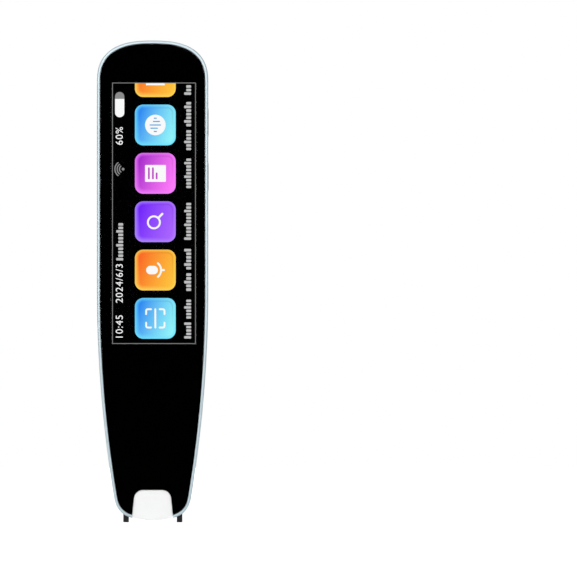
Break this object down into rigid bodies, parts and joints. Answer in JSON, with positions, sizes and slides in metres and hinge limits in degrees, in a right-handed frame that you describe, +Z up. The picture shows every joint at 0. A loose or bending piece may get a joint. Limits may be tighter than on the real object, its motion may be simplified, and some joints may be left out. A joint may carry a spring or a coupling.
{
  "type": "scanning pen",
  "caption": "Slim hand-held scanning pen with a long glass front, clear nose, two sprung feet, side keys and a round rear speaker grille.",
  "frame": {"origin": "Middle of the pen's width and depth, at the level of the tips of its two feet.", "axes": "+Z runs up the pen's length from its nose to its crown, -Y is the way the screen faces, +Y is the way the speaker faces, and +X is the side with the keys."},
  "size_m": [0.0347, 0.0124, 0.15],
  "materials": {
    "front_glass": "polished, black behind",
    "pale_metal": "satin, pale blue",
    "black_plastic": "fine matt",
    "trim_black": "satin",
    "clear_plastic": "clear, polished",
    "frosted_plastic": "frosted white",
    "key_black": "satin",
    "foot_grey": "satin",
    "steel": "plain",
    "lens_glass": "coated",
    "board_green": "solder mask",
    "lamp_white": "moulded",
    "screen": "smooth",
    "copper_film": "polyimide film",
    "chassis_metal": "pressed sheet",
    "battery_pouch": "pouch foil",
    "mesh_black": "woven",
    "foam": "foam",
    "cone_grey": "pressed paper"
  },
  "bodies": {
    "housing": {"front_glass": "front_glass", "side_frame": "pale_metal", "rear_cover": "black_plastic", "speaker_grille": "black_plastic", "nose_plate": "trim_black", "nose_hood": "clear_plastic", "nose_window": "frosted_plastic", "power_key_switch": "steel", "function_key_switch": "steel", "microphone": "steel", "left_return_spring": "steel", "right_return_spring": "steel", "trigger_switch": "key_black", "trigger_bracket": "steel", "left_ear_screw": "steel", "right_ear_screw": "steel", "camera_barrel": "key_black", "camera_lens": "lens_glass", "camera_holder": "key_black", "sensor_board": "board_green", "lamp_board": "board_green", "left_lamp": "lamp_white", "right_lamp": "lamp_white", "screen_module": "screen", "screen_flex": "copper_film", "chassis_plate": "chassis_metal", "main_board": "board_green", "processor_shield": "steel", "memory_chip": "key_black", "scan_flex": "copper_film", "lower_left_board_screw": "steel", "lower_right_board_screw": "steel", "upper_left_board_screw": "steel", "upper_right_board_screw": "steel", "charging_socket": "steel", "socket_tongue": "key_black", "battery": "battery_pouch", "battery_board": "board_green", "aerial": "copper_film", "dust_mesh": "mesh_black", "speaker_gasket": "foam", "speaker_basket": "steel", "speaker_cone": "cone_grey"},
    "trigger": {"scan_trigger": "foot_grey", "scan_trigger_plunger": "key_black"},
    "power_button": {"power_key": "key_black", "power_key_plunger": "key_black"},
    "function_button": {"function_key": "key_black", "function_key_plunger": "key_black"}
  },
  "joints": [
    {"name": "scan_trigger_press", "type": "slide", "parent": "housing", "child": "trigger", "axis": [0, 0, 1], "range_m": [0, 0.0006], "stiffness_N_per_m": 1500, "springref_m": -0.0005, "deforming": ["left_return_spring", "right_return_spring"]},
    {"name": "power_key_press", "type": "slide", "parent": "housing", "child": "power_button", "axis": [-1, 0, 0], "range_m": [0, 0.0004], "stiffness_N_per_m": 2500, "springref_m": -0.0003},
    {"name": "function_key_press", "type": "slide", "parent": "housing", "child": "function_button", "axis": [-1, 0, 0], "range_m": [0, 0.0004], "stiffness_N_per_m": 2500, "springref_m": -0.0003}
  ]
}
